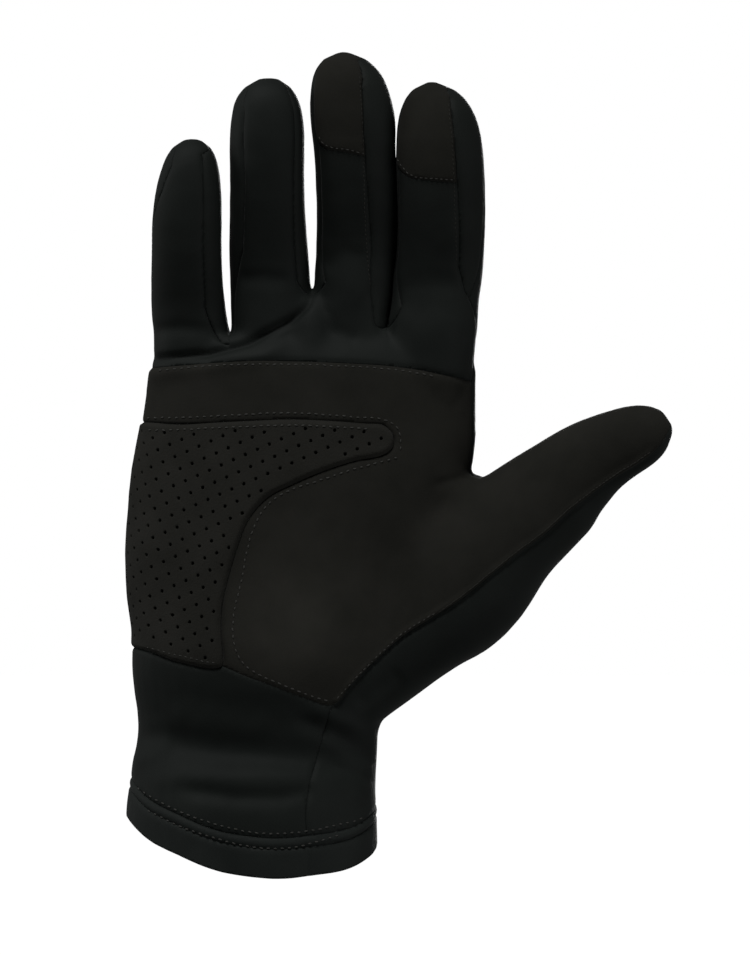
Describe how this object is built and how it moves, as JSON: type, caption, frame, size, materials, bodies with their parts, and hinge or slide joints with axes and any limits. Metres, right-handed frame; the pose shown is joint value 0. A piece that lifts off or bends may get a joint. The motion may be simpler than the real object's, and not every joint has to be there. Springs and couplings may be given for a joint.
{
  "type": "cycling glove",
  "caption": "Full-finger cycling glove for the right hand, with a suede palm and thumb, a raised perforated heel pad, stretch fabric fingers, touch fingertips and a hemmed cuff.",
  "frame": {"origin": "centre of the cuff's opening, where the wrist goes in", "axes": "+Z along the fingers, -Y out of the palm, +X towards the thumb"},
  "size_m": [0.1599, 0.053, 0.2336],
  "materials": {
    "suede": "black synthetic suede, matt",
    "pad_suede": "black perforated suede over soft padding",
    "stretch": "black stretch knit, matt with a fine sheen"
  },
  "bodies": {
    "root": {"hem_band": "stretch", "hem_tunnel": "stretch", "palm_pad": "pad_suede", "index_touch_tip": "suede", "middle_touch_tip": "suede", "fourchette_index_middle": "stretch", "fourchette_middle_ring": "stretch", "fourchette_ring_little": "stretch", "index_side_gusset": "stretch", "little_side_gusset": "stretch", "finger_panel": "stretch", "palm_panel": "suede", "heel_panel": "stretch", "thumb_panel": "stretch", "back_panel": "stretch"}
  },
  "joints": []
}
